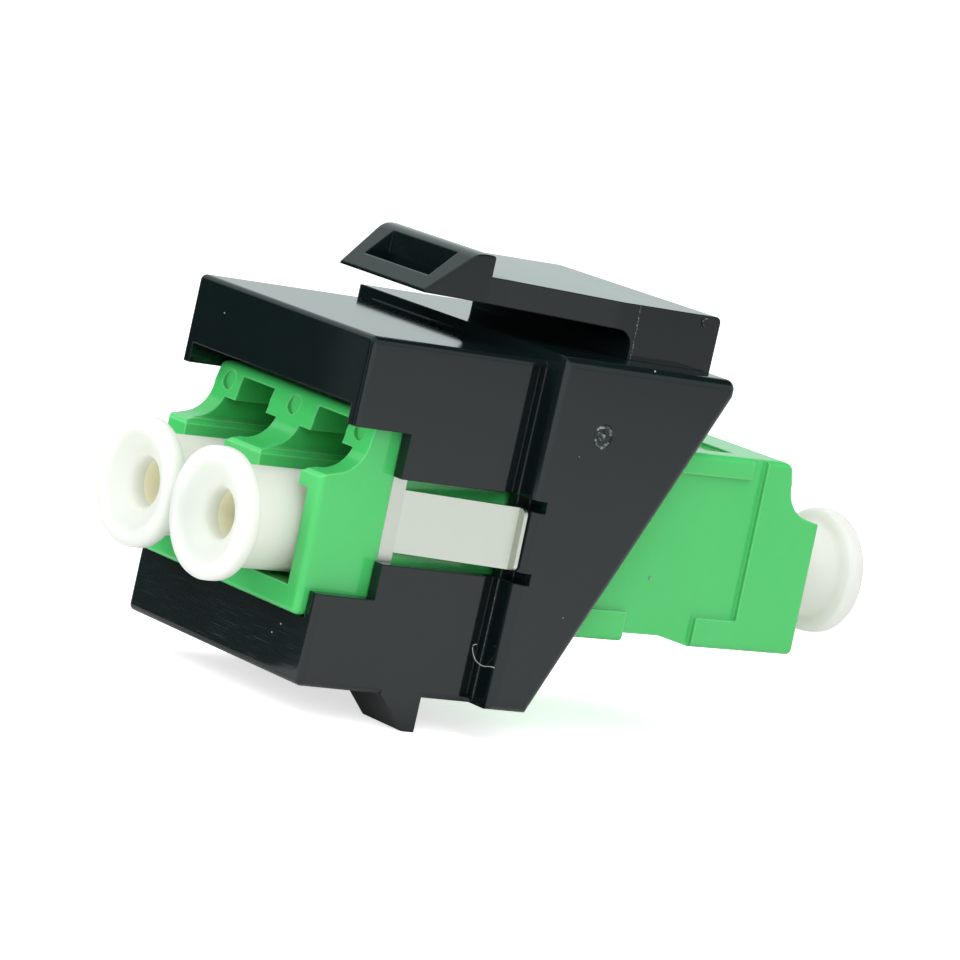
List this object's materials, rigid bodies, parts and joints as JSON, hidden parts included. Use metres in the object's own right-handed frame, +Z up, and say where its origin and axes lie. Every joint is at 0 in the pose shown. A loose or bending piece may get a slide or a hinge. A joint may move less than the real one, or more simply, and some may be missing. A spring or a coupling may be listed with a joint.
{
  "type": "fibre optic keystone jack",
  "caption": "Snap-in keystone housing with a sprung latch arm, carrying a duplex LC adapter with push-in dust caps at front and back.",
  "frame": {"origin": "middle of the lower edge of the front block's front face", "axes": "+X across the jack to the right seen from the front, +Y from the front face to the back, +Z up towards the latch arm"},
  "size_m": [0.017, 0.0371, 0.0219],
  "materials": {
    "housing_black": "fine satin moulded ABS",
    "adapter_green": "satin moulded plastic",
    "zirconia_white": "polished ceramic",
    "spring_steel": "bright rolled strip",
    "cap_white": "translucent soft polyethylene"
  },
  "bodies": {
    "jack": {"keystone_housing": "housing_black", "adapter_front": "adapter_green", "adapter_rear": "adapter_green", "sleeve_left": "zirconia_white", "sleeve_right": "zirconia_white", "retention_clip": "spring_steel"},
    "latch": {"latch_arm": "housing_black"},
    "cap_front_left": {"dust_cap_front_left": "cap_white"},
    "cap_front_right": {"dust_cap_front_right": "cap_white"},
    "cap_rear_left": {"dust_cap_rear_left": "cap_white"},
    "cap_rear_right": {"dust_cap_rear_right": "cap_white"}
  },
  "joints": [
    {"name": "latch_flex", "type": "hinge", "parent": "jack", "child": "latch", "pos_m": [0, 0.0145, 0.01866], "axis": [1, 0, 0], "range_deg": [0, 9], "stiffness_Nm_per_rad": 0.5},
    {"name": "pull_front_left", "type": "slide", "parent": "jack", "child": "cap_front_left", "axis": [0, -0.9998, -0.0209], "range_m": [0, 0.007]},
    {"name": "pull_front_right", "type": "slide", "parent": "jack", "child": "cap_front_right", "axis": [0, -0.9998, -0.0209], "range_m": [0, 0.007]},
    {"name": "pull_rear_left", "type": "slide", "parent": "jack", "child": "cap_rear_left", "axis": [0, 0.9998, 0.0209], "range_m": [0, 0.007]},
    {"name": "pull_rear_right", "type": "slide", "parent": "jack", "child": "cap_rear_right", "axis": [0, 0.9998, 0.0209], "range_m": [0, 0.007]}
  ]
}
